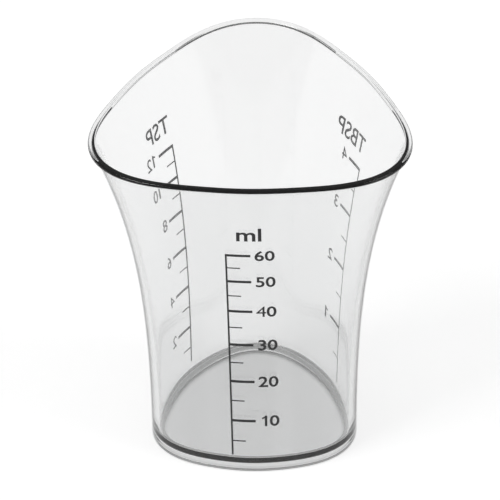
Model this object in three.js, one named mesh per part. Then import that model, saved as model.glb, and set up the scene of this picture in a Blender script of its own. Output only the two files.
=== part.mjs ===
// A small clear measuring cup that holds 60 ml to its top mark. The body is one moulding with a
// rounded-triangle section that flares from a nearly round foot to a wide flat rim with three
// pouring corners. Three scales are printed on the outside: millilitres on the front face,
// tablespoons on the back right face and teaspoons on the back left face.
//
// Millimetres, +Z up. The cup stands on z = 0, and the origin is the middle of its bounding box
// there. The corners point to 90, 210 and 330 degrees, and the faces look to 270, 30 and 150.

import * as THREE from 'three';
import { mergeVertices } from 'three/addons/utils/BufferGeometryUtils.js';

// Outside of the body. A reach is the distance from the cup's axis to the outside of the wall,
// and the lip stands out beyond it.
const cupHeight = 70.5;
const footCornerReach = 21.0;
const footFaceReach = 18.03;
const rimCornerReach = 32.02;
const rimFaceReach = 25.17;

// The wall leaves the foot in a gentle sweep, and turns out more sharply near the rim.
const cornerSweep = 2.0;
const faceSweep = 0.2;
const sweepPower = 1.54;
const cornerTurnPower = 2.94;
const faceTurnPower = 2.8;

// How far the section's corners and faces both stand out from a plain three-lobed curve.
const footSquareness = 0.2;
const rimSquareness = 0.49;
const squarenessPower = 3;

// Wall and lip
const footWall = 1.4;
const rimWall = 0.8;
const lipOverhang = 0.4;
const lipEdgeRadius = 0.45;
const lipEdgeFlat = 0.05;
const lipFillet = 0.3;
const mouthRadius = 0.3;

// Floor and foot
const floorThickness = 1.26;
const footRingDepth = 1.25;
const footRingWidth = 2.0;
const floorFillet = 0.9;
const ringFillet = 0.35;
const ringEdgeRadius = 0.3;
const footEdgeRadius = 0.45;
const gateRadius = 1.0;
const gateHeight = 0.08;

// Printed scales. Volumes are in millilitres.
const topMark = 60;
const millilitreStep = 5;
const teaspoon = 5;
const tablespoon = 15;
const lineOffset = 3.86;
const lineWidth = 0.33;
const lineLean = THREE.MathUtils.degToRad(0.73);
const lineFootAboveFloor = 1.55;
const longTick = 4.52;
const shortTick = 2.53;
const longTickWidth = 0.58;
const shortTickWidth = 0.26;
const inkThickness = 0.15;
const inkGap = 0.1;

// Fineness of the facets
const facetsAround = 72;
const wallRows = 16;
const filletRows = 3;
const ladderPatch = 1.6;
const volumeSlice = 0.2;

// Heights that follow from the sizes above
const floorTop = footRingDepth + floorThickness;
const lipUnder = cupHeight - lipEdgeFlat - 2 * lipEdgeRadius;
const quarterTurn = Math.PI / 2;
const backCorner = quarterTurn;
const frontFace = -quarterTurn;
const backRightFace = frontFace + 2 * Math.PI / 3;
const backLeftFace = frontFace - 2 * Math.PI / 3;

// Reach of the wall's outside at height z, between a foot and a rim reach.
function reachAt(z, foot, rim, sweep, turnPower) {
  const share = Math.max(z, 0) / cupHeight;
  return foot + sweep * share ** sweepPower + (rim - foot - sweep) * share ** turnPower;
}

// Radius of the outside at an angle and a height, with its slope round the cup.
function section(angle, z) {
  const corner = reachAt(z, footCornerReach, rimCornerReach, cornerSweep, cornerTurnPower);
  const face = reachAt(z, footFaceReach, rimFaceReach, faceSweep, faceTurnPower);
  const share = Math.max(z, 0) / cupHeight;
  const square = footSquareness + (rimSquareness - footSquareness) * share ** squarenessPower;
  const mean = (corner + face) / 2 - square;
  const lobe = (corner - face) / 2;
  const turn = 3 * (angle - backCorner);
  return {
    radius: mean + lobe * Math.cos(turn) + square * Math.cos(2 * turn),
    slope: -3 * lobe * Math.sin(turn) - 6 * square * Math.sin(2 * turn),
  };
}

// Level unit vector that points straight out of the section.
function outward(angle, z) {
  const { radius, slope } = section(angle, z);
  const along = new THREE.Vector2(
    slope * Math.cos(angle) - radius * Math.sin(angle),
    slope * Math.sin(angle) + radius * Math.cos(angle),
  );
  return new THREE.Vector2(along.y, -along.x).normalize();
}

// Angle by which the wall leans out of upright.
function lean(angle, z) {
  const step = 0.05;
  const out = outward(angle, z);
  const growth = (section(angle, z + step).radius - section(angle, z - step).radius) / (2 * step);
  return Math.atan(growth * (Math.cos(angle) * out.x + Math.sin(angle) * out.y));
}

// Point at a level distance inside the wall's outside. The outside is taken at outlineHeight.
function insetPoint(angle, outlineHeight, inset, z) {
  const { radius } = section(angle, outlineHeight);
  const out = outward(angle, outlineHeight);
  return new THREE.Vector3(
    radius * Math.cos(angle) - inset * out.x,
    radius * Math.sin(angle) - inset * out.y,
    z,
  );
}

// Level width of the wall at an angle and a height. The wall thins from the foot to the rim.
function wallWidth(angle, z) {
  const thickness = footWall + (rimWall - footWall) * z / cupHeight;
  return thickness / Math.cos(lean(angle, z));
}

// Point of the wall's inside.
function insidePoint(angle, z) {
  return insetPoint(angle, z, wallWidth(angle, z), z);
}

// Distance from the cup's axis to the outermost line of the lip.
function lipReach(angle) {
  const point = insetPoint(angle, cupHeight, -lipOverhang, cupHeight);
  return Math.hypot(point.x, point.y);
}

// Evenly spaced numbers from start to end, both included.
function spread(start, end, steps) {
  return Array.from({ length: steps + 1 }, (_, i) => start + (end - start) * i / steps);
}

// Numbers from 0 to 1 that lie closer together towards 1, where the wall turns out.
function closerAtRim(steps) {
  return spread(0, 1, steps).map((share) => 1 - (1 - share) ** 1.5);
}

// A closed skin from rings of points, with one point under and one point over its ends.
function ringSkin(firstPoint, rings, lastPoint) {
  const positions = [];
  const triangle = (a, b, c) => positions.push(...a.toArray(), ...b.toArray(), ...c.toArray());
  const count = rings[0].length;
  for (let i = 0; i < count; i += 1) {
    const next = (i + 1) % count;
    triangle(firstPoint, rings[0][next], rings[0][i]);
    for (let row = 0; row + 1 < rings.length; row += 1) {
      const low = rings[row];
      const high = rings[row + 1];
      triangle(low[i], low[next], high[next]);
      triangle(low[i], high[next], high[i]);
    }
    triangle(rings.at(-1)[i], rings.at(-1)[next], lastPoint);
  }
  const geometry = new THREE.BufferGeometry();
  geometry.setAttribute('position', new THREE.Float32BufferAttribute(positions, 3));
  return mergeVertices(geometry, 1e-4);
}

// The moulded body: one profile, run from the middle of the underside out over the foot, up the
// outside, round the out-turned lip, down the inside and across the floor.
function cupBodyGeometry() {
  const angles = Array.from({ length: facetsAround }, (_, i) => 2 * Math.PI * i / facetsAround);
  const rings = [];
  const ring = (pointAt) => rings.push(angles.map(pointAt));
  const footRing = (inset, z) => ring((angle) => insetPoint(angle, footEdgeRadius, inset, z));
  const circle = (radius, z) => ring(
    (angle) => new THREE.Vector3(radius * Math.cos(angle), radius * Math.sin(angle), z),
  );

  // Mark of the moulding gate, then the flat underside within the foot ring
  const gateBottom = footRingDepth - gateHeight;
  circle(gateRadius - gateHeight, gateBottom);
  circle(gateRadius, footRingDepth);

  // Foot ring: its inner fillet, inner edge, flat bottom and outer edge
  for (const turn of spread(quarterTurn, 0, filletRows)) {
    footRing(
      footRingWidth + ringFillet * (1 - Math.cos(turn)),
      footRingDepth - ringFillet * (1 - Math.sin(turn)),
    );
  }
  for (const turn of spread(0, quarterTurn, filletRows)) {
    footRing(
      footRingWidth - ringEdgeRadius * (1 - Math.cos(turn)),
      ringEdgeRadius * (1 - Math.sin(turn)),
    );
  }
  for (const turn of spread(quarterTurn, 0, filletRows)) {
    footRing(
      footEdgeRadius * (1 - Math.cos(turn)),
      footEdgeRadius * (1 - Math.sin(turn)),
    );
  }

  // Outside of the wall, up to where the fillet under the lip begins
  const outsideEnd = (angle) => lipUnder - lipFillet * (1 - Math.sin(lean(angle, cupHeight)));
  for (const share of closerAtRim(wallRows).slice(1)) {
    ring((angle) => {
      const z = footEdgeRadius + (outsideEnd(angle) - footEdgeRadius) * share;
      return insetPoint(angle, z, 0, z);
    });
  }

  // Fillet under the lip, which turns from the wall's lean to level
  for (const share of spread(0, 1, filletRows).slice(1)) {
    ring((angle) => {
      const tilt = lean(angle, cupHeight);
      const turn = tilt + (quarterTurn - tilt) * share;
      const inset = lipFillet * (Math.cos(turn) - Math.cos(tilt));
      return insetPoint(angle, outsideEnd(angle), inset, lipUnder - lipFillet * (1 - Math.sin(turn)));
    });
  }

  // Outer edge of the lip, rounded below and above
  const lipRing = (turn, z) => ring(
    (angle) => insetPoint(angle, cupHeight, lipEdgeRadius * (1 - Math.cos(turn)) - lipOverhang, z),
  );
  for (const turn of spread(quarterTurn, 0, filletRows)) {
    lipRing(turn, lipUnder + lipEdgeRadius * (1 - Math.sin(turn)));
  }
  for (const turn of spread(0, quarterTurn, filletRows)) {
    lipRing(turn, cupHeight - lipEdgeRadius * (1 - Math.sin(turn)));
  }

  // Mouth, rounded from the flat top into the wall's inside
  const insideStart = (angle) => cupHeight - mouthRadius * (1 - Math.sin(lean(angle, cupHeight)));
  for (const share of spread(0, 1, filletRows).slice(0, -1)) {
    ring((angle) => {
      const tilt = lean(angle, cupHeight);
      const turn = (quarterTurn - tilt) * share;
      const start = insideStart(angle);
      const inset = wallWidth(angle, start) + mouthRadius * (Math.sin(turn) - Math.cos(tilt));
      return insetPoint(angle, start, inset, cupHeight - mouthRadius * (1 - Math.cos(turn)));
    });
  }

  // Inside of the wall, down to the floor's fillet
  const filletTop = floorTop + floorFillet;
  for (const share of closerAtRim(wallRows).reverse()) {
    ring((angle) => insidePoint(angle, filletTop + (insideStart(angle) - filletTop) * share));
  }
  for (const turn of spread(0, quarterTurn, filletRows).slice(1)) {
    ring((angle) => {
      const inset = wallWidth(angle, filletTop) + floorFillet * (1 - Math.cos(turn));
      return insetPoint(angle, filletTop, inset, filletTop - floorFillet * Math.sin(turn));
    });
  }
  return ringSkin(
    new THREE.Vector3(0, 0, gateBottom),
    rings,
    new THREE.Vector3(0, 0, floorTop),
  );
}

// Area of the liquid's surface at height z.
function insideArea(z) {
  const depth = Math.max(floorTop + floorFillet - z, 0);
  const fillet = floorFillet - Math.sqrt(Math.max(floorFillet ** 2 - depth ** 2, 0));
  const outline = Array.from({ length: facetsAround }, (_, i) => {
    const angle = 2 * Math.PI * i / facetsAround;
    const inset = wallWidth(angle, z) + fillet;
    const point = insetPoint(angle, z, inset, z);
    return new THREE.Vector2(point.x, point.y);
  });
  return THREE.ShapeUtils.area(outline);
}

// Heights at which the cup holds each of the given volumes, in rising order.
function fillHeights(volumes) {
  const heights = [];
  let held = 0;
  let z = floorTop;
  for (const volume of volumes) {
    while (z < cupHeight) {
      const slice = insideArea(z + volumeSlice / 2) * volumeSlice / 1000;
      if (held + slice > volume) break;
      held += slice;
      z += volumeSlice;
    }
    const rest = (volume - held) * 1000 / insideArea(z);
    heights.push(z + rest);
  }
  return heights;
}

// Point over a face, at a distance to the right of its middle as seen from outside, raised
// square off the wall.
function facePoint(face, right, z, raised) {
  let angle = face;
  for (let i = 0; i < 6; i += 1) {
    angle = face + Math.asin(right / section(angle, z).radius);
  }
  const out = outward(angle, z);
  const tilt = lean(angle, z);
  const point = insetPoint(angle, z, 0, z);
  point.x += raised * Math.cos(tilt) * out.x;
  point.y += raised * Math.cos(tilt) * out.y;
  point.z -= raised * Math.sin(tilt);
  return point;
}

// Cuts the stretch between neighbouring stops into patches no longer than ladderPatch.
function patched(stops) {
  const cuts = [stops[0]];
  for (let i = 1; i < stops.length; i += 1) {
    const steps = Math.ceil((stops[i] - stops[i - 1]) / ladderPatch);
    cuts.push(...spread(stops[i - 1], stops[i], steps).slice(1));
  }
  return cuts;
}

// One printed ladder: an upright line with long and short ticks that run to its right. It is a
// grid of patches that follow the wall, each patch either inked or left out.
function ladderGeometry(face, longStep, shortStep) {
  const volumes = [];
  for (let volume = shortStep; volume <= topMark; volume += shortStep) volumes.push(volume);
  const heights = fillHeights(volumes);
  const ticks = volumes.map((volume, i) => {
    const isLong = volume % longStep === 0;
    const halfWidth = (isLong ? longTickWidth : shortTickWidth) / 2;
    const reach = isLong ? longTick : shortTick;
    return { low: heights[i] - halfWidth, high: heights[i] + halfWidth, reach };
  });
  const lineFoot = floorTop + lineFootAboveFloor;
  const rows = patched([lineFoot, ...ticks.flatMap((tick) => [tick.low, tick.high])]);
  const columns = patched([-lineWidth / 2, lineWidth / 2, shortTick, longTick]);
  const middleHeight = heights.at(-1) / 2;

  const inked = (column, row) => {
    if (row < 0 || column < 0 || row + 1 >= rows.length || column + 1 >= columns.length) return false;
    const right = (columns[column] + columns[column + 1]) / 2;
    const z = (rows[row] + rows[row + 1]) / 2;
    const tick = ticks.find(({ low, high }) => low < z && z < high);
    return right < lineWidth / 2 || (tick !== undefined && right < tick.reach);
  };
  const corner = (column, row, raised) => {
    const z = rows[row];
    const right = columns[column] - lineOffset - (z - middleHeight) * Math.tan(lineLean);
    return facePoint(face, right, z, raised);
  };

  const positions = [];
  const quad = (a, b, c, d) => [a, b, c, a, c, d].forEach((p) => positions.push(...p.toArray()));
  const inner = inkGap;
  const outer = inkGap + inkThickness;
  for (let row = 0; row + 1 < rows.length; row += 1) {
    for (let column = 0; column + 1 < columns.length; column += 1) {
      if (!inked(column, row)) continue;
      const steps = [[0, 0], [1, 0], [1, 1], [0, 1]];
      const under = steps.map(([right, up]) => corner(column + right, row + up, inner));
      const over = steps.map(([right, up]) => corner(column + right, row + up, outer));
      quad(over[0], over[1], over[2], over[3]);
      quad(under[3], under[2], under[1], under[0]);
      const neighbours = [[0, -1], [1, 0], [0, 1], [-1, 0]];
      neighbours.forEach(([right, up], side) => {
        if (inked(column + right, row + up)) return;
        const next = (side + 1) % 4;
        quad(under[side], under[next], over[next], over[side]);
      });
    }
  }
  const geometry = new THREE.BufferGeometry();
  geometry.setAttribute('position', new THREE.Float32BufferAttribute(positions, 3));
  return mergeVertices(geometry, 1e-4);
}

const clearPlastic = new THREE.MeshStandardMaterial({
  color: 0xdfe1e2,
  roughness: 0.06,
  metalness: 0,
  transparent: true,
  opacity: 0.35,
});
const blackInk = new THREE.MeshStandardMaterial({ color: 0x262626, roughness: 0.6, metalness: 0 });

// The cup about its own axis, moved so that the bounding box is centred on the origin.
const cup = new THREE.Group();
cup.position.y = -(lipReach(backCorner) - lipReach(frontFace)) / 2;

function addPiece(name, geometry, material) {
  geometry.computeVertexNormals();
  const mesh = new THREE.Mesh(geometry, material);
  mesh.name = name;
  cup.add(mesh);
}

addPiece('cup_body', cupBodyGeometry(), clearPlastic);
addPiece('ml_scale', ladderGeometry(frontFace, 2 * millilitreStep, millilitreStep), blackInk);
addPiece('tsp_scale', ladderGeometry(backLeftFace, 2 * teaspoon, teaspoon), blackInk);
addPiece('tbsp_scale', ladderGeometry(backRightFace, tablespoon, tablespoon / 2), blackInk);

const measuringCup = new THREE.Group();
measuringCup.add(cup);

export default measuringCup;
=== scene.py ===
# Looks of a clear 60 ml measuring cup: one moulded body and three printed scales, on a pale floor.
# Lengths are metres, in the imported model's own frame: +Z up, the cup standing on z = 0.

import math
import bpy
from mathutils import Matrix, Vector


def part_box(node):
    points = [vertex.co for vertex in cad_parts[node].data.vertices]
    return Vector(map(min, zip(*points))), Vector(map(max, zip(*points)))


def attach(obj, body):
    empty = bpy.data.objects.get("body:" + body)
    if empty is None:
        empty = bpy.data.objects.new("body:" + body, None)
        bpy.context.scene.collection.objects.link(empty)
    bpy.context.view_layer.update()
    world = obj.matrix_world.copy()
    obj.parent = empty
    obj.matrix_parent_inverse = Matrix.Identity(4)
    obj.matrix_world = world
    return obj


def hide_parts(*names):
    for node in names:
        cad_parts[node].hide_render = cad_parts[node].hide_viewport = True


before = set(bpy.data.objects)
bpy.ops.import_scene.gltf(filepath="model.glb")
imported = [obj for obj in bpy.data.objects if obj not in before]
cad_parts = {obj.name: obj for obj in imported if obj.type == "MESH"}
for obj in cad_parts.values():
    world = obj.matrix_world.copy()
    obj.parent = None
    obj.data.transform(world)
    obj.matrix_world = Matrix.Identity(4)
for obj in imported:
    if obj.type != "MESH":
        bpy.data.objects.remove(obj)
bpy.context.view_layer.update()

from types import SimpleNamespace

import bmesh
import bpy
from bpy.props import FloatProperty, FloatVectorProperty, IntProperty, PointerProperty
from mathutils import Matrix, Vector

bl_info = {
    "name": "Clear measuring cup",
    "version": (1, 0, 0),
    "blender": (4, 5, 0),
    "location": "3D View > Sidebar > Cup",
    "description": "Builds a clear measuring cup with printed scales and a plain stage for it",
    "category": "Object",
}

MM = 0.001

# Rows of faces along the parts of the body's profile
WALL_ROWS = 72
CURVE_ROWS = 6
EDGE_ROWS = 5
FOOT_ROWS = 7
FLOOR_ROWS = 8
# How much closer together the wall's rows lie near the rim
CROWDING = 1.5

# Lamps and camera
KEY_PLACE = (-0.9, -0.5, 1.3)
FILL_PLACE = (1.1, -0.3, 1.0)
LAMP_SIDE = 0.8
SENSOR_WIDTH = 36
CAMERA_RANGE = (0.1, 20)
# Upward share of a direction at which the studio's walls end and its ceiling begins
WALLS_END, CEILING_STARTS = 0.25, 0.75

# The three faces look this way, as angles round the cup's axis.
FRONT_FACE = math.radians(270)
BACK_RIGHT_FACE = math.radians(30)
BACK_LEFT_FACE = math.radians(150)


def cup_axis():
    """Place of the cup's axis. The body repeats three times round it, so its points average there."""
    points = [vertex.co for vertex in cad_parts["cup_body"].data.vertices]
    middle = sum(points, Vector()) / len(points)
    return Vector((0, middle.y, 0))


CUP_AXIS = cup_axis()
CUP_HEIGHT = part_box("cup_body")[1].z


# Settings that a user would change


def length(name, description, millimetres):
    return FloatProperty(
        name=name, description=description, default=millimetres * MM, precision=5,
        subtype="DISTANCE", unit="LENGTH",
    )


def number(name, description, default):
    return FloatProperty(name=name, description=description, default=default, precision=4)


def share(name, description, default):
    return FloatProperty(
        name=name, description=description, default=default, min=0, max=1, subtype="FACTOR",
    )


def turn(name, description, degrees):
    return FloatProperty(
        name=name, description=description, default=math.radians(degrees), subtype="ANGLE",
        unit="ROTATION",
    )


def count(name, description, default):
    return IntProperty(name=name, description=description, default=default, min=1)


def colour(name, description, default):
    return FloatVectorProperty(
        name=name, description=description, default=default, size=3, min=0, max=1, subtype="COLOR",
    )


class CupSizes(bpy.types.PropertyGroup):
    """Sizes of the moulded body. A reach is a distance from the cup's axis to the wall's outside."""

    cup_height: length("Cup height", "Foot to the top of the lip", CUP_HEIGHT / MM)
    foot_corner_reach: length("Foot corner reach", "Reach of a corner at the foot", 21.0)
    foot_face_reach: length("Foot face reach", "Reach of a face at the foot", 18.03)
    rim_corner_reach: length("Rim corner reach", "Reach of a corner under the lip", 32.02)
    rim_face_reach: length("Rim face reach", "Reach of a face under the lip", 25.17)
    corner_sweep: length("Corner sweep", "Gentle part of a corner's flare", 2.0)
    face_sweep: length("Face sweep", "Gentle part of a face's flare", 0.2)
    sweep_power: number("Sweep power", "How late the gentle flare sets in", 1.54)
    corner_turn_power: number("Corner turn power", "How late a corner turns out", 2.94)
    face_turn_power: number("Face turn power", "How late a face turns out", 2.8)
    foot_squareness: length("Foot squareness", "Fullness of corners and faces at the foot", 0.2)
    rim_squareness: length("Rim squareness", "Fullness of corners and faces at the rim", 0.49)
    squareness_power: number("Squareness power", "How late the fullness grows", 3)
    foot_wall: length("Foot wall", "Thickness of the wall at the foot", 1.4)
    rim_wall: length("Rim wall", "Thickness of the wall at the rim", 0.8)
    lip_overhang: length("Lip overhang", "How far the lip stands out from the wall", 0.4)
    lip_edge_radius: length("Lip edge radius", "Radius on the lip's two outer edges", 0.45)
    lip_edge_flat: length("Lip edge flat", "Upright stretch between the lip's outer edges", 0.05)
    lip_fillet: length("Lip fillet", "Radius between the wall and the lip's underside", 0.3)
    mouth_radius: length("Mouth radius", "Radius on the rim's inner edge", 0.3)
    floor_thickness: length("Floor thickness", "Thickness of the floor plate", 1.26)
    foot_ring_depth: length("Foot ring depth", "Height of the hollow under the floor", 1.25)
    foot_ring_width: length("Foot ring width", "Width of the ring that the cup stands on", 2.0)
    floor_fillet: length("Floor fillet", "Radius between floor and inside wall", 0.9)
    ring_fillet: length("Ring fillet", "Radius inside the hollow's upper corner", 0.35)
    ring_edge_radius: length("Ring edge radius", "Radius on the ring's inner edge", 0.3)
    foot_edge_radius: length("Foot edge radius", "Radius on the ring's outer edge", 0.45)
    gate_radius: length("Gate radius", "Radius of the moulding mark under the floor", 1.0)
    gate_height: length("Gate height", "How far the moulding mark stands down", 0.03)
    steps_around: count("Steps around", "Faces round the cup", 288)


class PrintSizes(bpy.types.PropertyGroup):
    """Sizes of the printed scales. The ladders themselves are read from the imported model."""

    numeral_height: length("Numeral height", "Height of the scales' numbers", 2.53)
    numeral_cell: length("Numeral cell", "Room that one digit takes along the row", 1.93)
    numeral_gap: length("Numeral gap", "From a long tick's end to its number", 0.67)
    unit_height: length("Unit height", "Height of the tall letters of a unit's name", 3.4)
    litre_rise: length("Millilitre rise", "From the top tick to the millilitre name", 3.5)
    litre_indent: length("Millilitre indent", "From the ladder's line to the millilitre name", 2.0)
    spoon_rise: length("Spoon rise", "From the top tick to a spoon's name", 2.87)
    spoon_indent: length("Spoon indent", "From the ladder's line to a spoon's name", -0.2)
    bold: number("Bold", "Outline added to the bold lettering, as a share of its size", 0.018)
    medium: number("Medium", "Outline added to the other lettering, as a share of its size", 0.008)
    bold_width: number("Bold width", "How far the bold lettering is widened", 1.1)
    ink_gap: length("Ink gap", "Between the wall and the ink film", 0.012)
    ink_thickness: length("Ink thickness", "Thickness of the ink film", 0.03)
    patch: length("Patch", "Longest flat stretch of a printed line", 0.6)


class CupFinish(bpy.types.PropertyGroup):
    """Looks of the clear plastic and of the ink."""

    plastic_colour: colour("Plastic colour", "Tint at each surface", (0.93, 0.932, 0.932))
    depth_colour: colour("Depth colour", "Colour of light that has passed deep", (0.70, 0.71, 0.712))
    depth_density: number("Depth density", "How fast the plastic takes light up, per metre", 130)
    refraction: number("Refraction", "Refractive index of the plastic", 1.565)
    ink_colour: colour("Ink colour", "Colour of the printed scales", (0.022, 0.022, 0.024))


class StageSizes(bpy.types.PropertyGroup):
    """The floor, the light and the photograph's point of view."""

    floor_width: length("Floor width", "Side of the square floor", 9000)
    floor_colour: colour("Floor colour", "Colour of the floor", (0.86, 0.86, 0.86))
    floor_glow: share("Floor glow", "White added where the floor is seen directly", 0.6)
    # Painted light on the floor: these shape a painted patch of glow round the cup, dimmer far off
    # and in front, seen through the plastic and in reflections
    painted_pool_radius: length("Pool radius", "Reach of the light round the cup", 300)
    painted_pool_edge: share("Pool edge", "Share of the glow that is left far from the cup", 0.2)
    painted_front_dim_start: length("Front start", "Depth at which the floor in front starts to dim", -30)
    painted_front_dim_end: length("Front end", "Depth at which the floor in front is dimmest", -80)
    painted_front_share: share("Front share", "Share of the glow that is left in front", 0.2)
    # Painted shadow: ambient occlusion darkens the floor's glow where the cup's foot stands over it
    painted_shadow_reach: length("Contact reach", "Height up to which the cup shades the glow", 1)
    painted_shadow_share: share("Contact share", "Share of the glow that is left under the foot", 0.22)
    high_sky: share("High sky", "Brightness of the studio overhead", 0.2)
    low_sky: share("Low sky", "Brightness of the studio's walls", 0.6)
    mirrored_sky: share("Mirrored sky", "Brightness of the studio in the plastic", 0.32)
    key_power: number("Key power", "Power of the lamp on the left, in watts", 6)
    fill_power: number("Fill power", "Power of the lamp on the right, in watts", 3.5)
    camera_distance: length("Camera distance", "From the lens to the point it looks at", 968.47)
    camera_turn: turn("Camera turn", "Turn of the camera round the cup", 2.487)
    camera_rise: turn("Camera rise", "Height of the camera above the horizon", 35.79)
    camera_roll: turn("Camera roll", "Roll of the camera about its view", -0.663)
    aim_side: length("Aim side", "Sideways place that the camera looks at", -0.65)
    aim_height: length("Aim height", "Height that the camera looks at", 39.135)
    lens: number("Lens", "Focal length in millimetres on a 36 mm sensor", 369.13)


SETTINGS = {
    "cup_sizes": CupSizes,
    "print_sizes": PrintSizes,
    "cup_finish": CupFinish,
    "cup_stage": StageSizes,
}


def settings_of(group):
    """The group's properties, as (identifier, name, value)."""
    known = {"rna_type", "name"}
    properties = [item for item in group.bl_rna.properties if item.identifier not in known]
    return [(item.identifier, item.name, getattr(group, item.identifier)) for item in properties]


# Node trees


def plug(entry, value):
    """Gives an input its value: another node's output, or a plain constant."""
    if isinstance(value, Field):
        value = value.socket
    if isinstance(value, bpy.types.NodeSocket):
        entry.id_data.links.new(value, entry)
    else:
        entry.default_value = value


def add_node(tree, kind, inputs=None, **settings):
    """Adds a node, sets its options, and plugs in its inputs by name or number."""
    node = tree.nodes.new(kind)
    across, down = divmod(len(tree.nodes), 12)
    node.location = (across * 200, -down * 220)
    for name, value in settings.items():
        setattr(node, name, value)
    for name, value in (inputs or {}).items():
        plug(node.inputs[name], value)
    return node


class Field:
    """A number that varies over the mesh. Arithmetic on it adds Math nodes to its tree."""

    def __init__(self, socket):
        self.socket = socket

    def math(self, operation, *others):
        inputs = dict(enumerate((self, *others)))
        node = add_node(self.socket.id_data, "ShaderNodeMath", inputs, operation=operation)
        return Field(node.outputs[0])

    def __add__(self, other):
        return self.math("ADD", other)

    def __sub__(self, other):
        return self.math("SUBTRACT", other)

    def __mul__(self, other):
        return self.math("MULTIPLY", other)

    def __truediv__(self, other):
        return self.math("DIVIDE", other)

    def __pow__(self, other):
        return self.math("POWER", other)

    def __rsub__(self, other):
        return self * -1 + other

    __radd__ = __add__
    __rmul__ = __mul__

    def sin(self):
        return self.math("SINE")

    def cos(self):
        return self.math("COSINE")

    def tan(self):
        return self.math("TANGENT")

    def arctan(self):
        return self.math("ARCTANGENT")


def mix(start, end, part):
    return (end - start) * part + start


def new_tree(name, sockets):
    """A geometry tree with the given inputs, as {name: kind of socket}, and its input fields."""
    tree = bpy.data.node_groups.new(name, "GeometryNodeTree")
    for label, kind in sockets.items():
        tree.interface.new_socket(label, in_out="INPUT", socket_type=kind)
    entry = add_node(tree, "NodeGroupInput")
    given = {label: Field(entry.outputs[label]) for label in sockets}
    return tree, given


def finish_tree(tree, geometry, material):
    """Ends a tree: instances made real, the material set, and the geometry given out."""
    tree.interface.new_socket("Geometry", in_out="OUTPUT", socket_type="NodeSocketGeometry")
    real = add_node(tree, "GeometryNodeRealizeInstances", {"Geometry": geometry})
    inked = add_node(
        tree, "GeometryNodeSetMaterial", {"Geometry": real.outputs[0], "Material": material},
    )
    add_node(tree, "NodeGroupOutput", {"Geometry": inked.outputs[0]})


def grown_piece(name, mesh, tree, values):
    """An object whose mesh the tree makes from the given input values, as a plain mesh."""
    piece = bpy.data.objects.new(name, mesh)
    bpy.context.scene.collection.objects.link(piece)
    modifier = piece.modifiers.new(name, "NODES")
    modifier.node_group = tree
    for item in tree.interface.items_tree:
        if item.in_out == "INPUT" and item.name in values:
            modifier[item.identifier] = values[item.name]
    depsgraph = bpy.context.evaluated_depsgraph_get()
    made = bpy.data.meshes.new_from_object(piece.evaluated_get(depsgraph))
    piece.modifiers.clear()
    piece.data = made
    made.name = name
    return piece


def size_sockets(group):
    kinds = {int: "NodeSocketInt", float: "NodeSocketFloat"}
    return {name: kinds[type(value)] for _, name, value in settings_of(group)}


def named_sizes(group, given):
    """The size inputs of a tree under their short names, as attributes."""
    return SimpleNamespace(**{key: given[name] for key, name, _ in settings_of(group)})


# Shape of the wall


def reach_at(part, foot, rim, sweep, sweep_power, turn_power):
    """Reach of the wall at a share of the height, and how it grows with that share."""
    flare = rim - foot - sweep
    reach = foot + sweep * part ** sweep_power + flare * part ** turn_power
    gentle = sweep * sweep_power * part ** (sweep_power - 1)
    sharp = flare * turn_power * part ** (turn_power - 1)
    return reach, gentle + sharp


def wall_law_tree(cup_sizes):
    """Rounded-triangle section of the wall's outside at an angle and a height."""
    places = {"Angle": "NodeSocketFloat", "Height": "NodeSocketFloat"}
    tree, given = new_tree("Wall law", {**places, **size_sockets(cup_sizes)})
    size = named_sizes(cup_sizes, given)
    part = given["Height"].math("MAXIMUM", 0) / size.cup_height

    corner, corner_growth = reach_at(
        part, size.foot_corner_reach, size.rim_corner_reach, size.corner_sweep,
        size.sweep_power, size.corner_turn_power,
    )
    face, face_growth = reach_at(
        part, size.foot_face_reach, size.rim_face_reach, size.face_sweep,
        size.sweep_power, size.face_turn_power,
    )
    fullness = size.rim_squareness - size.foot_squareness
    square = size.foot_squareness + fullness * part ** size.squareness_power
    square_growth = fullness * size.squareness_power * part ** (size.squareness_power - 1)

    back_corner = math.pi / 2
    lobes = (given["Angle"] - back_corner) * 3
    wave, finer_wave = lobes.cos(), (lobes * 2).cos()
    lobe = (corner - face) / 2
    radius = (corner + face) / 2 - square + lobe * wave + square * finer_wave
    slope = lobe * -3 * lobes.sin() - square * 6 * (lobes * 2).sin()
    growth = (corner_growth + face_growth) / 2 - square_growth
    growth = growth + (corner_growth - face_growth) / 2 * wave + square_growth * finer_wave

    run = (radius * radius + slope * slope) ** 0.5
    cos, sin = given["Angle"].cos(), given["Angle"].sin()
    results = {
        "Radius": radius,
        "Outward X": (radius * cos + slope * sin) / run,
        "Outward Y": (radius * sin - slope * cos) / run,
        "Lean": (growth / size.cup_height * radius / run).arctan(),
    }
    for label in results:
        tree.interface.new_socket(label, in_out="OUTPUT", socket_type="NodeSocketFloat")
    add_node(tree, "NodeGroupOutput", results)
    return tree


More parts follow.
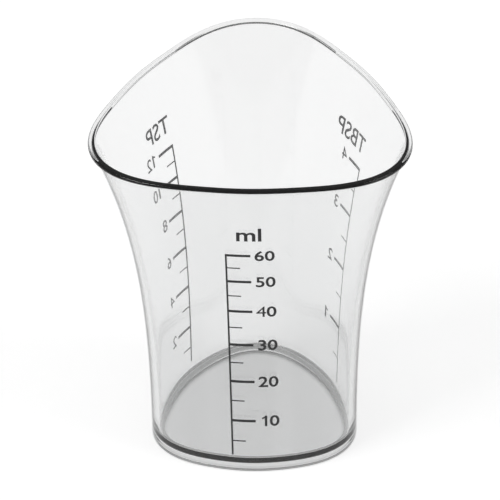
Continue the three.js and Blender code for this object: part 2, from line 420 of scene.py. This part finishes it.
def body_tree(cup_sizes):
    """The moulded body as bands of one profile, run from the middle of the underside out over the
    foot, up the outside, over the lip, down the inside and across the floor."""
    law = wall_law_tree(cup_sizes)
    sockets = {
        **size_sockets(cup_sizes),
        "Axis": "NodeSocketVector",
        "Material": "NodeSocketMaterial",
    }
    tree, given = new_tree("Moulded cup", sockets)
    size = named_sizes(cup_sizes, given)

    # Each band is a flat unit grid: its X runs round the cup and its Y along the profile.
    place = add_node(tree, "GeometryNodeInputPosition")
    flat = add_node(tree, "ShaderNodeSeparateXYZ", {0: place.outputs[0]})
    angle = (Field(flat.outputs["X"]) + 0.5) * (2 * math.pi)
    along = Field(flat.outputs["Y"]) + 0.5
    cos, sin = angle.cos(), angle.sin()
    bands = []

    def wall_at(height):
        inputs = {name: given[name] for _, name, _ in settings_of(cup_sizes)}
        inputs.update({"Angle": angle, "Height": height})
        node = add_node(tree, "GeometryNodeGroup", node_tree=law)
        for name, value in inputs.items():
            plug(node.inputs[name], value)
        radius, out_x, out_y, lean = (Field(output) for output in node.outputs)
        return SimpleNamespace(radius=radius, out_x=out_x, out_y=out_y, lean=lean)

    def inset(wall, distance):
        """Level place at a distance inside the wall's outside."""
        return wall.radius * cos - wall.out_x * distance, wall.radius * sin - wall.out_y * distance

    def circle(radius):
        return radius * cos, radius * sin

    def blend(start, end, part):
        return tuple(mix(a, b, part) for a, b in zip(start, end))

    def band(rows, level, height):
        grid = add_node(
            tree, "GeometryNodeMeshGrid",
            {"Size X": 1, "Size Y": 1, "Vertices X": size.steps_around + 1, "Vertices Y": rows + 1},
        )
        point = add_node(tree, "ShaderNodeCombineXYZ", {0: level[0], 1: level[1], 2: height})
        centred = add_node(
            tree, "ShaderNodeVectorMath", {0: point.outputs[0], 1: given["Axis"]}, operation="ADD",
        )
        placed = add_node(
            tree, "GeometryNodeSetPosition",
            {"Geometry": grid.outputs["Mesh"], "Position": centred.outputs[0]},
        )
        bands.append(placed.outputs[0])

    quarter = math.pi / 2
    opening = along * quarter
    closing = (1 - along) * quarter
    foot = wall_at(size.foot_edge_radius)
    floor_top = size.foot_ring_depth + size.floor_thickness
    fillet_top = floor_top + size.floor_fillet

    # Moulding mark and the hollow's ceiling
    ceiling = size.foot_ring_depth
    gate = circle(size.gate_radius * opening.sin())
    band(CURVE_ROWS, gate, ceiling - size.gate_height * opening.cos())
    ceiling_end = inset(foot, size.foot_ring_width + size.ring_fillet)
    band(CURVE_ROWS, blend(circle(size.gate_radius), ceiling_end, along), ceiling)

    # Foot ring: inner fillet, inner side, inner edge, flat and outer edge
    fillet = size.ring_fillet
    band(
        CURVE_ROWS, inset(foot, size.foot_ring_width + fillet * (1 - closing.cos())),
        ceiling - fillet * (1 - closing.sin()),
    )
    edge = size.ring_edge_radius
    band(1, inset(foot, size.foot_ring_width), mix(ceiling - fillet, edge, along))
    band(
        EDGE_ROWS, inset(foot, size.foot_ring_width - edge * (1 - opening.cos())),
        edge * (1 - opening.sin()),
    )
    outer_edge = size.foot_edge_radius
    band(1, inset(foot, mix(size.foot_ring_width - edge, outer_edge, along)), along * 0)
    band(
        FOOT_ROWS, inset(foot, outer_edge * (1 - closing.cos())),
        outer_edge * (1 - closing.sin()),
    )

    # Outside of the wall, with its rows closer together where it turns out
    def thickness(height):
        return mix(size.foot_wall, size.rim_wall, height / size.cup_height)

    height = size.cup_height
    top = wall_at(height)
    edge = size.lip_edge_radius
    under = height - size.lip_edge_flat - edge * 2
    fillet = size.lip_fillet
    outside_end = under - fillet * (1 - top.lean.sin())
    outside_height = mix(outer_edge, outside_end, 1 - (1 - along) ** CROWDING)
    band(WALL_ROWS, inset(wall_at(outside_height), along * 0), outside_height)

    # Lip: fillet under it, underside, rounded outer edge, flat top and rounded mouth
    root = wall_at(outside_end)
    bend = mix(top.lean, quarter, along)
    band(
        CURVE_ROWS, inset(root, fillet * (bend.cos() - top.lean.cos())),
        under - fillet * (1 - bend.sin()),
    )
    underside = inset(root, fillet * -1 * top.lean.cos())
    flat_inset = edge - size.lip_overhang
    band(2, blend(underside, inset(top, flat_inset), along), under)
    band(
        EDGE_ROWS, inset(top, flat_inset - edge * closing.cos()),
        under + edge * (1 - closing.sin()),
    )
    band(1, inset(top, size.lip_overhang * -1), mix(under + edge, height - edge, along))
    band(
        EDGE_ROWS, inset(top, flat_inset - edge * opening.cos()),
        height - edge * (1 - opening.sin()),
    )
    mouth = size.mouth_radius
    inside_start = height - mouth * (1 - top.lean.sin())
    near = wall_at(inside_start)
    near_inset = thickness(inside_start) / near.lean.cos() - mouth * top.lean.cos()
    band(4, blend(inset(top, flat_inset), inset(near, near_inset), along), height)
    turn_in = (quarter - top.lean) * along
    band(
        CURVE_ROWS, inset(near, near_inset + mouth * turn_in.sin()),
        height - mouth * (1 - turn_in.cos()),
    )

    # Inside of the wall, its fillet and the floor
    inside_height = mix(inside_start, fillet_top, along ** CROWDING)
    inside = wall_at(inside_height)
    band(WALL_ROWS, inset(inside, thickness(inside_height) / inside.lean.cos()), inside_height)
    low_wall = wall_at(fillet_top)
    low_inset = thickness(fillet_top) / low_wall.lean.cos()
    fillet = size.floor_fillet
    band(
        FLOOR_ROWS, inset(low_wall, low_inset + fillet * (1 - opening.cos())),
        fillet_top - fillet * opening.sin(),
    )
    floor_edge = inset(low_wall, low_inset + fillet)
    band(FLOOR_ROWS, blend(floor_edge, (0, 0), along), floor_top)

    joined = add_node(tree, "GeometryNodeJoinGeometry")
    for output in bands:
        tree.links.new(output, joined.inputs[0])
    sealed = add_node(
        tree, "GeometryNodeMergeByDistance", {"Geometry": joined.outputs[0], "Distance": 1e-6},
    )
    smooth = add_node(tree, "GeometryNodeSetShadeSmooth", {"Geometry": sealed.outputs[0]})
    finish_tree(tree, smooth.outputs[0], given["Material"])
    return tree


# Printed scales

# A row of the ladder is a tick's edge if it is this many times as wide as the line, and a tick
# is a long one if it reaches this share of the longest.
TICK_WIDENING = 3
LONG_SHARE = 0.8

# Height of the built-in lettering's figures and capitals, as a share of its size
CAPITAL_HEIGHT = 0.69

# Outline of a figure 1 with a flag and no foot, as shares of the figures' height
FLAGGED_ONE = [
    (0, 0.78), (0.05, 0.68), (0.245, 0.76), (0.245, 0), (0.43, 0), (0.43, 1), (0.29, 1), (0.2, 0.9),
]


def ladder_from_frame(node, face):
    """One printed ladder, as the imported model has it: the line's two ends, its width, and each
    tick's height, ends and width. A place is (distance to the right of the face's middle, z)."""
    right = Vector((-math.sin(face), math.cos(face), 0))
    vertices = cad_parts[node].data.vertices
    points = sorted((v.co.z, (v.co - CUP_AXIS).dot(right)) for v in vertices)
    row_gap = 0.1 * MM
    rows = [[points[0]]]
    for point in points[1:]:
        if point[0] - rows[-1][-1][0] > row_gap:
            rows.append([])
        rows[-1].append(point)
    edges = []
    for row in rows:
        heights = [z for z, _ in row]
        sides = [x for _, x in row]
        edges.append(((min(heights) + max(heights)) / 2, min(sides), max(sides)))
    narrowest = min(high - low for _, low, high in edges)
    tick_edges = [edge for edge in edges if edge[2] - edge[1] > TICK_WIDENING * narrowest]
    ticks = []
    for low, high in zip(tick_edges[::2], tick_edges[1::2]):
        start = (low[1] + high[1]) / 2 + narrowest
        ticks.append(SimpleNamespace(
            height=(low[0] + high[0]) / 2, start=start, end=(low[2] + high[2]) / 2,
            width=high[0] - low[0],
        ))
    ends = [(edges[i][1] + narrowest / 2, edges[i][0]) for i in (0, -1)]
    return SimpleNamespace(foot=ends[0], top=ends[1], width=narrowest, ticks=ticks)


def built_in_lettering(text, outline):
    """Flat mesh of a word in the built-in lettering."""
    curve = bpy.data.curves.new("lettering", "FONT")
    curve.body = text
    curve.offset = outline
    curve.resolution_u = 5
    word = bpy.data.objects.new("lettering", curve)
    bpy.context.scene.collection.objects.link(word)
    depsgraph = bpy.context.evaluated_depsgraph_get()
    mesh = bpy.data.meshes.new_from_object(word.evaluated_get(depsgraph))
    bpy.data.objects.remove(word)
    bpy.data.curves.remove(curve)
    return mesh


def written(text, height, outline, widen):
    """A word with its left end at 0, its baseline on 0, and capitals and figures of that height.
    A 1 is drawn from its own outline, as it is."""
    if text == "1":
        mesh = bpy.data.meshes.new("one")
        mesh.from_pydata(
            [(x, y, 0) for x, y in FLAGGED_ONE], [], [range(len(FLAGGED_ONE))],
        )
        lift, full_height, widen = 0, 1.0, 1.0
    else:
        mesh = built_in_lettering(text, outline)
        lift, full_height = outline, CAPITAL_HEIGHT + 2 * outline
    left = min(vertex.co.x for vertex in mesh.vertices)
    scale = height / full_height
    mesh.transform(
        Matrix.Diagonal((scale * widen, scale, 1, 1)) @ Matrix.Translation((-left, lift, 0)),
    )
    return mesh


def right_end(mesh):
    return max(vertex.co.x for vertex in mesh.vertices)


def numeral(text, sizes, outline, widen):
    """A number whose figures each take one cell."""
    made = bmesh.new()
    for position, figure in enumerate(text):
        # A thicker outline would fill in the small eye of a 4.
        added = 0 if figure == "4" else outline
        mesh = written(figure, sizes.numeral_height, added, widen)
        side = (sizes.numeral_cell - right_end(mesh)) / 2
        mesh.transform(Matrix.Translation((position * sizes.numeral_cell + side, 0, 0)))
        made.from_mesh(mesh)
        bpy.data.meshes.remove(mesh)
    mesh = bpy.data.meshes.new("numeral")
    made.to_mesh(mesh)
    made.free()
    return mesh


def lettering_object(name, placed):
    """One flat object from meshes and the places of their lower left ends."""
    made = bmesh.new()
    for mesh, (x, y) in placed:
        mesh.transform(Matrix.Translation((x, y, 0)))
        made.from_mesh(mesh)
        bpy.data.meshes.remove(mesh)
    bmesh.ops.triangulate(made, faces=made.faces)
    mesh = bpy.data.meshes.new(name)
    made.to_mesh(mesh)
    made.free()
    flat = bpy.data.objects.new(name, mesh)
    bpy.context.scene.collection.objects.link(flat)
    return flat


def scale_tree():
    """A printed scale: ticks on points, an upright line and lettering, drawn flat, then laid on
    the wall along the face's direction and given the thickness of an ink film."""
    tree, given = new_tree("Printed scale", {
        "Ticks": "NodeSocketGeometry",
        "Lettering": "NodeSocketObject",
        "Cup": "NodeSocketObject",
        "Right": "NodeSocketVector",
        "Outward": "NodeSocketVector",
        "Start": "NodeSocketVector",
        "Line foot": "NodeSocketVector",
        "Line top": "NodeSocketVector",
        "Line width": "NodeSocketFloat",
        "Line steps": "NodeSocketInt",
        "Tick steps": "NodeSocketInt",
        "Ink gap": "NodeSocketFloat",
        "Ink thickness": "NodeSocketFloat",
        "Material": "NodeSocketMaterial",
    })

    def vector_math(operation, *values):
        inputs = {}
        for i, value in enumerate(values):
            inputs["Scale" if operation == "SCALE" and i == 1 else i] = value
        return add_node(tree, "ShaderNodeVectorMath", inputs, operation=operation).outputs[0]

    def split(vector):
        node = add_node(tree, "ShaderNodeSeparateXYZ", {0: vector})
        return [Field(output) for output in node.outputs]

    def combine(x, y, z=0):
        return add_node(tree, "ShaderNodeCombineXYZ", {0: x, 1: y, 2: z}).outputs[0]

    def strip(steps, across, down):
        """A unit strip of square patches."""
        return add_node(
            tree, "GeometryNodeMeshGrid",
            {"Size X": 1, "Size Y": 1, "Vertices X": across(steps), "Vertices Y": down(steps)},
        ).outputs["Mesh"]

    place = add_node(tree, "GeometryNodeInputPosition").outputs[0]

    def named(name):
        node = add_node(
            tree, "GeometryNodeInputNamedAttribute", {"Name": name}, data_type="FLOAT",
        )
        return Field(node.outputs[0])

    # Ticks, each a unit strip stretched to its length and width from its left end
    tick = strip(given["Tick steps"], lambda steps: steps + 1, lambda steps: 2)
    tick = add_node(
        tree, "GeometryNodeTransform", {"Geometry": tick, "Translation": (0.5, 0, 0)},
    ).outputs[0]
    ticks = add_node(tree, "GeometryNodeInstanceOnPoints", {
        "Points": given["Ticks"],
        "Instance": tick,
        "Scale": combine(named("tick_length"), named("tick_width"), 1),
    }).outputs[0]

    # The upright line, between its two ends
    line = strip(given["Line steps"], lambda steps: 2, lambda steps: steps + 1)
    grid_x, grid_y, _ = split(place)
    run = vector_math("SUBTRACT", given["Line top"], given["Line foot"])
    on_line = vector_math("ADD", given["Line foot"], vector_math("SCALE", run, grid_y + 0.5))
    off_line = combine(grid_x * given["Line width"], 0)
    line = add_node(tree, "GeometryNodeSetPosition", {
        "Geometry": line, "Position": vector_math("ADD", on_line, off_line),
    }).outputs[0]

    lettering = add_node(tree, "GeometryNodeObjectInfo", {"Object": given["Lettering"]})
    fine = add_node(
        tree, "GeometryNodeSubdivideMesh", {"Mesh": lettering.outputs["Geometry"], "Level": 2},
    )
    flat = add_node(tree, "GeometryNodeJoinGeometry")
    for output in (ticks, line, fine.outputs[0]):
        tree.links.new(output, flat.inputs[0])
    flat = add_node(tree, "GeometryNodeRealizeInstances", {"Geometry": flat.outputs[0]}).outputs[0]

    # Onto the wall: each point travels against the face's direction until it meets the cup
    flat_x, flat_y, _ = split(place)
    start = vector_math("ADD", given["Start"], vector_math("SCALE", given["Right"], flat_x))
    start = vector_math("ADD", start, combine(0, 0, flat_y))
    cup = add_node(tree, "GeometryNodeObjectInfo", {"Object": given["Cup"]})
    landing = add_node(tree, "GeometryNodeRaycast", {
        "Target Geometry": cup.outputs["Geometry"],
        "Source Position": start,
        "Ray Direction": vector_math("SCALE", given["Outward"], -1.0),
        "Ray Length": 1.0,
    })
    gap = vector_math("SCALE", landing.outputs["Hit Normal"], given["Ink gap"])
    laid = add_node(tree, "GeometryNodeSetPosition", {
        "Geometry": flat,
        "Position": vector_math("ADD", landing.outputs["Hit Position"], gap),
    }).outputs[0]

    # Thickness of the film, with the underside turned to face the wall
    raised = add_node(tree, "GeometryNodeExtrudeMesh", {
        "Mesh": laid, "Offset Scale": given["Ink thickness"], "Individual": False,
    })
    under = add_node(tree, "GeometryNodeFlipFaces", {"Mesh": laid})
    film = add_node(tree, "GeometryNodeJoinGeometry")
    for output in (raised.outputs["Mesh"], under.outputs[0]):
        tree.links.new(output, film.inputs[0])
    sealed = add_node(
        tree, "GeometryNodeMergeByDistance", {"Geometry": film.outputs[0], "Distance": 1e-6},
    )
    finish_tree(tree, sealed.outputs[0], given["Material"])
    return tree


def tick_points(name, ladder):
    """One point at each tick's left end, with the tick's length and width on it."""
    mesh = bpy.data.meshes.new(name)
    mesh.from_pydata([(tick.start, tick.height, 0) for tick in ladder.ticks], [], [])
    lengths = mesh.attributes.new("tick_length", "FLOAT", "POINT")
    widths = mesh.attributes.new("tick_width", "FLOAT", "POINT")
    lengths.data.foreach_set("value", [tick.end - tick.start for tick in ladder.ticks])
    widths.data.foreach_set("value", [tick.width for tick in ladder.ticks])
    return mesh


def printed_scale(node, face, unit, step, bold, tree, cup, ink, sizes):
    """One scale on one face, with a number beside each long tick and the unit's name on top."""
    ladder = ladder_from_frame(node, face)
    longest = max(tick.end - tick.start for tick in ladder.ticks)
    long_ticks = [tick for tick in ladder.ticks if tick.end - tick.start > LONG_SHARE * longest]
    outline, widen = (sizes.bold, sizes.bold_width) if bold else (sizes.medium, 1.0)
    placed = []
    for position, tick in enumerate(long_ticks):
        mesh = numeral(str(step * (position + 1)), sizes, outline, widen)
        corner = (tick.end + sizes.numeral_gap, tick.height - sizes.numeral_height / 2)
        placed.append((mesh, corner))
    indent, rise = sizes.spoon_indent, sizes.spoon_rise
    if unit == "ml":
        indent, rise = sizes.litre_indent, sizes.litre_rise
    unit_place = (ladder.top[0] + indent, ladder.top[1] + rise)
    placed.append((written(unit, sizes.unit_height, outline, widen), unit_place))
    lettering = lettering_object(unit + "_lettering", placed)

    outward = Vector((math.cos(face), math.sin(face), 0))
    patch = sizes.patch
    values = {
        "Lettering": lettering,
        "Cup": cup,
        "Right": (-outward.y, outward.x, 0),
        "Outward": outward,
        "Start": CUP_AXIS + outward * CUP_HEIGHT,
        "Line foot": (*ladder.foot, 0),
        "Line top": (*ladder.top, 0),
        "Line width": ladder.width,
        "Line steps": math.ceil((ladder.top[1] - ladder.foot[1]) / patch),
        "Tick steps": math.ceil(longest / patch),
        "Ink gap": sizes.ink_gap,
        "Ink thickness": sizes.ink_thickness,
        "Material": ink,
    }
    piece = grown_piece(node.replace("_scale", "_print"), tick_points(node, ladder), tree, values)
    bpy.data.objects.remove(lettering)
    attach(piece, "root")
    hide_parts(node)
    return piece


# Materials

# Most of a noise texture's values lie between these.
NOISE_LOW, NOISE_HIGH = 0.3, 0.7

# Grain and depth of the plastic's polish and of its flow ripple, which runs up the cup
POLISH_GRAIN, DULLEST_POLISH = 6 * MM, 0.02
RIPPLE_GRAIN, RIPPLE_DEPTH, RIPPLE_STRENGTH = 9 * MM, 0.05 * MM, 0.15
RIPPLE_STRETCH = (1, 1, 0.35)

# Grain of the ink's colour and sheen, the shares of its colour that it varies between, and the
# roughness of its sheen
COVER_GRAIN, SHEEN_GRAIN = 0.5 * MM, 0.3 * MM
THICK_SHARE, THIN_SHARE = 0.8, 1.3
SHEEN_ROUGHNESS = (0.42, 0.58)

# Rays sent from each point of the floor to find the cup above it, for the painted shadow under the
# foot
PAINTED_SHADOW_RAYS = 8


def new_material(name):
    """A material with only its Principled shader and output."""
    material = bpy.data.materials.new(name)
    material.use_nodes = True
    tree = material.node_tree
    shader = next(node for node in tree.nodes if node.type == "BSDF_PRINCIPLED")
    output = next(node for node in tree.nodes if node.type == "OUTPUT_MATERIAL")
    return material, tree, shader, output


def noise(tree, grain, detail=2, stretch=(1, 1, 1)):
    """Noise on the piece's own coordinates, with features of about the given size."""
    coordinates = add_node(tree, "ShaderNodeTexCoord")
    mapping = add_node(
        tree, "ShaderNodeMapping", {"Vector": coordinates.outputs["Object"], "Scale": stretch},
    )
    made = add_node(
        tree, "ShaderNodeTexNoise",
        {"Vector": mapping.outputs[0], "Scale": 1 / grain, "Detail": detail},
    )
    return made.outputs[0]


def ranged(tree, value, low, high):
    """A noise value spread over a range."""
    node = add_node(tree, "ShaderNodeMapRange", {
        "Value": value, "From Min": NOISE_LOW, "From Max": NOISE_HIGH,
        "To Min": low, "To Max": high,
    })
    return node.outputs[0]


def clear_plastic(finish):
    """Clear moulded plastic: glassy, a little grey in its depth, with a faint flow ripple."""
    material, tree, shader, output = new_material("clear_plastic")
    shader.inputs["Base Color"].default_value = (*finish.plastic_colour, 1)
    shader.inputs["IOR"].default_value = finish.refraction
    shader.inputs["Transmission Weight"].default_value = 1
    polish = ranged(tree, noise(tree, POLISH_GRAIN), 0, DULLEST_POLISH)
    plug(shader.inputs["Roughness"], polish)
    ripple = noise(tree, RIPPLE_GRAIN, detail=1, stretch=RIPPLE_STRETCH)
    bump = add_node(tree, "ShaderNodeBump", {
        "Height": ripple, "Strength": RIPPLE_STRENGTH, "Distance": RIPPLE_DEPTH,
    })
    plug(shader.inputs["Normal"], bump.outputs[0])
    depth = add_node(tree, "ShaderNodeVolumeAbsorption")
    depth.inputs["Color"].default_value = (*finish.depth_colour, 1)
    depth.inputs["Density"].default_value = finish.depth_density
    plug(output.inputs["Volume"], depth.outputs[0])
    return material


def scale_ink(finish):
    """Satin black printing ink, a little uneven as it was laid on."""
    material, tree, shader, _ = new_material("scale_ink")
    dark = tuple(channel * THICK_SHARE for channel in finish.ink_colour)
    light = tuple(min(channel * THIN_SHARE, 1) for channel in finish.ink_colour)
    cover = add_node(
        tree, "ShaderNodeMix", {"Factor": noise(tree, COVER_GRAIN)}, data_type="RGBA",
    )
    colours = [socket for socket in cover.inputs if socket.type == "RGBA"]
    colours[0].default_value = (*dark, 1)
    colours[1].default_value = (*light, 1)
    result = next(socket for socket in cover.outputs if socket.type == "RGBA")
    plug(shader.inputs["Base Color"], result)
    plug(shader.inputs["Roughness"], ranged(tree, noise(tree, SHEEN_GRAIN), *SHEEN_ROUGHNESS))
    return material


def eased(tree, value, near, far, near_value, far_value):
    """A smooth change from one value to another as the input goes from near to far."""
    node = add_node(tree, "ShaderNodeMapRange", {
        "Value": value, "From Min": near, "From Max": far, "To Min": near_value,
        "To Max": far_value,
    }, interpolation_type="SMOOTHSTEP")
    return Field(node.outputs[0])


def floor_material(stage):
    """Pale floor that keeps the cup's shadow, and glows white to the camera. Through the plastic
    and in reflections its glow carries painted light: bright round the cup, painted dimmer at a
    distance and in front, and a painted shadow where the foot covers it."""
    material, tree, shader, _ = new_material("pale_floor")
    shader.inputs["Base Color"].default_value = (*stage.floor_colour, 1)
    shader.inputs["Roughness"].default_value = 1
    shader.inputs["Specular IOR Level"].default_value = 0
    shader.inputs["Emission Color"].default_value = (1, 1, 1, 1)

    place = add_node(tree, "ShaderNodeTexCoord").outputs["Object"]
    axes = add_node(tree, "ShaderNodeSeparateXYZ", {0: place})
    side, depth = Field(axes.outputs["X"]), Field(axes.outputs["Y"])
    distance = (side * side + depth * depth) ** 0.5
    # Painted light: the glow is bright round the cup, fades with distance and is painted dimmer in
    # front; no lamp makes it
    painted_pool = eased(tree, distance, stage.painted_pool_radius, stage.painted_pool_radius * 2, 1, stage.painted_pool_edge)
    front = eased(tree, depth, stage.painted_front_dim_end, stage.painted_front_dim_start, stage.painted_front_share, 1)

    path = add_node(tree, "ShaderNodeLightPath")
    mirrored = Field(path.outputs["Is Glossy Ray"])
    inside = mirrored.math("MAXIMUM", path.outputs["Is Transmission Ray"])
    # Painted shadow under the foot: the glow is darkened by ambient occlusion from the cup, not by a
    # lamp's shadow
    painted_shadow_occlusion = add_node(
        tree, "ShaderNodeAmbientOcclusion", {"Distance": stage.painted_shadow_reach},
        samples=PAINTED_SHADOW_RAYS,
    )
    painted_contact_shadow = mix(stage.painted_shadow_share, 1, Field(painted_shadow_occlusion.outputs["AO"]))
    # The glow seen through the plastic and in reflections, with its painted light and painted shadow
    lit = inside * painted_pool * front * painted_contact_shadow
    seen = lit.math("MAXIMUM", path.outputs["Is Camera Ray"])
    plug(shader.inputs["Emission Strength"], seen * stage.floor_glow)
    return material


# Stage


def studio_world(stage):
    """White where the camera looks, a softly lit studio that is darker overhead for what lies in
    the open, and an even, dimmer studio for the plastic."""
    world = bpy.data.worlds.new("studio")
    world.use_nodes = True
    tree = world.node_tree
    tree.nodes.clear()
    direction = add_node(tree, "ShaderNodeTexCoord").outputs["Generated"]
    height = add_node(tree, "ShaderNodeSeparateXYZ", {0: direction}).outputs["Z"]
    sky = eased(tree, height, WALLS_END, CEILING_STARTS, stage.low_sky, stage.high_sky)
    path = add_node(tree, "ShaderNodeLightPath")
    lit = mix(stage.mirrored_sky, sky, Field(path.outputs["Is Diffuse Ray"]))
    brightness = mix(lit, 1, Field(path.outputs["Is Camera Ray"]))
    light = add_node(tree, "ShaderNodeBackground", {"Strength": brightness})
    light.inputs["Color"].default_value = (1, 1, 1, 1)
    output = add_node(tree, "ShaderNodeOutputWorld")
    plug(output.inputs["Surface"], light.outputs[0])
    bpy.context.scene.world = world


def lamp(name, place, target, watts):
    """A square soft lamp that faces its target."""
    light = bpy.data.lights.new(name, "AREA")
    light.shape = "SQUARE"
    light.size, light.energy = LAMP_SIDE, watts
    source = bpy.data.objects.new(name, light)
    bpy.context.scene.collection.objects.link(source)
    source.location = place
    source.rotation_euler = (target - Vector(place)).to_track_quat("-Z", "Y").to_euler()


def aim_camera(stage):
    """The camera at the photograph's point of view."""
    data = bpy.data.cameras.new("camera")
    data.lens = stage.lens
    data.sensor_width = SENSOR_WIDTH
    data.clip_start, data.clip_end = CAMERA_RANGE
    camera = bpy.data.objects.new("camera", data)
    bpy.context.scene.collection.objects.link(camera)
    level = math.cos(stage.camera_rise)
    back = Vector((
        math.sin(stage.camera_turn) * level,
        -math.cos(stage.camera_turn) * level,
        math.sin(stage.camera_rise),
    ))
    target = CUP_AXIS + Vector((stage.aim_side, 0, stage.aim_height))
    place = target + back * stage.camera_distance
    facing = (-back).to_track_quat("-Z", "Y").to_matrix().to_4x4()
    roll = Matrix.Rotation(stage.camera_roll, 4, "Z")
    camera.matrix_world = Matrix.Translation(place) @ facing @ roll
    bpy.context.scene.camera = camera


# Operators


class CUP_OT_make_body(bpy.types.Operator):
    """Make the clear moulded body from its sizes"""

    bl_idname = "measuring_cup.make_body"
    bl_label = "Make clear body"

    def execute(self, context):
        scene = context.scene
        tree = body_tree(scene.cup_sizes)
        values = {name: value for _, name, value in settings_of(scene.cup_sizes)}
        values["Axis"] = CUP_AXIS
        values["Material"] = clear_plastic(scene.cup_finish)
        body = grown_piece("clear_body", bpy.data.meshes.new("clear_body"), tree, values)
        if not body.data.polygons:
            raise RuntimeError("the clear body came out empty")
        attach(body, "root")
        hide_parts("cup_body")
        return {"FINISHED"}


class CUP_OT_print_scales(bpy.types.Operator):
    """Print the millilitre, tablespoon and teaspoon scales on the body"""

    bl_idname = "measuring_cup.print_scales"
    bl_label = "Print scales"

    def execute(self, context):
        scene = context.scene
        cup = bpy.data.objects.get("clear_body")
        if cup is None:
            raise RuntimeError("make the clear body before printing on it")
        tree = scale_tree()
        ink = scale_ink(scene.cup_finish)
        common = (tree, cup, ink, scene.print_sizes)
        printed_scale("ml_scale", FRONT_FACE, "ml", 10, True, *common)
        printed_scale("tsp_scale", BACK_LEFT_FACE, "TSP", 2, False, *common)
        printed_scale("tbsp_scale", BACK_RIGHT_FACE, "TBSP", 1, False, *common)
        return {"FINISHED"}


class CUP_OT_set_stage(bpy.types.Operator):
    """Set up the pale floor, the soft studio light and the camera"""

    bl_idname = "measuring_cup.set_stage"
    bl_label = "Set stage"

    def execute(self, context):
        stage = context.scene.cup_stage
        half = stage.floor_width / 2
        corners = [(-half, -half, 0), (half, -half, 0), (half, half, 0), (-half, half, 0)]
        mesh = bpy.data.meshes.new("floor")
        mesh.from_pydata(corners, [], [range(len(corners))])
        mesh.materials.append(floor_material(stage))
        floor = bpy.data.objects.new("floor", mesh)
        context.scene.collection.objects.link(floor)
        studio_world(stage)
        middle = Vector((0, 0, CUP_HEIGHT / 2))
        lamp("key", KEY_PLACE, middle, stage.key_power)
        lamp("fill", FILL_PLACE, middle, stage.fill_power)
        aim_camera(stage)
        context.scene.view_settings.view_transform = "Standard"
        return {"FINISHED"}


OPERATORS = (CUP_OT_make_body, CUP_OT_print_scales, CUP_OT_set_stage)


class CUP_PT_tools(bpy.types.Panel):
    """Lists the steps that build the cup"""

    bl_idname = "CUP_PT_tools"
    bl_label = "Measuring cup"
    bl_space_type = "VIEW_3D"
    bl_region_type = "UI"
    bl_category = "Cup"

    def draw(self, context):
        for operator in OPERATORS:
            self.layout.operator(operator.bl_idname)
        for name in SETTINGS:
            box = self.layout.box()
            group = getattr(context.scene, name)
            for identifier, _, _ in settings_of(group):
                box.prop(group, identifier)


CLASSES = (*SETTINGS.values(), *OPERATORS, CUP_PT_tools)


def register():
    for item in CLASSES:
        bpy.utils.register_class(item)
    for name, group in SETTINGS.items():
        setattr(bpy.types.Scene, name, PointerProperty(type=group))


def unregister():
    for name in SETTINGS:
        delattr(bpy.types.Scene, name)
    for item in reversed(CLASSES):
        bpy.utils.unregister_class(item)


def main():
    register()
    bpy.ops.measuring_cup.make_body()
    bpy.ops.measuring_cup.print_scales()
    bpy.ops.measuring_cup.set_stage()


if __name__ == "__main__":
    main()
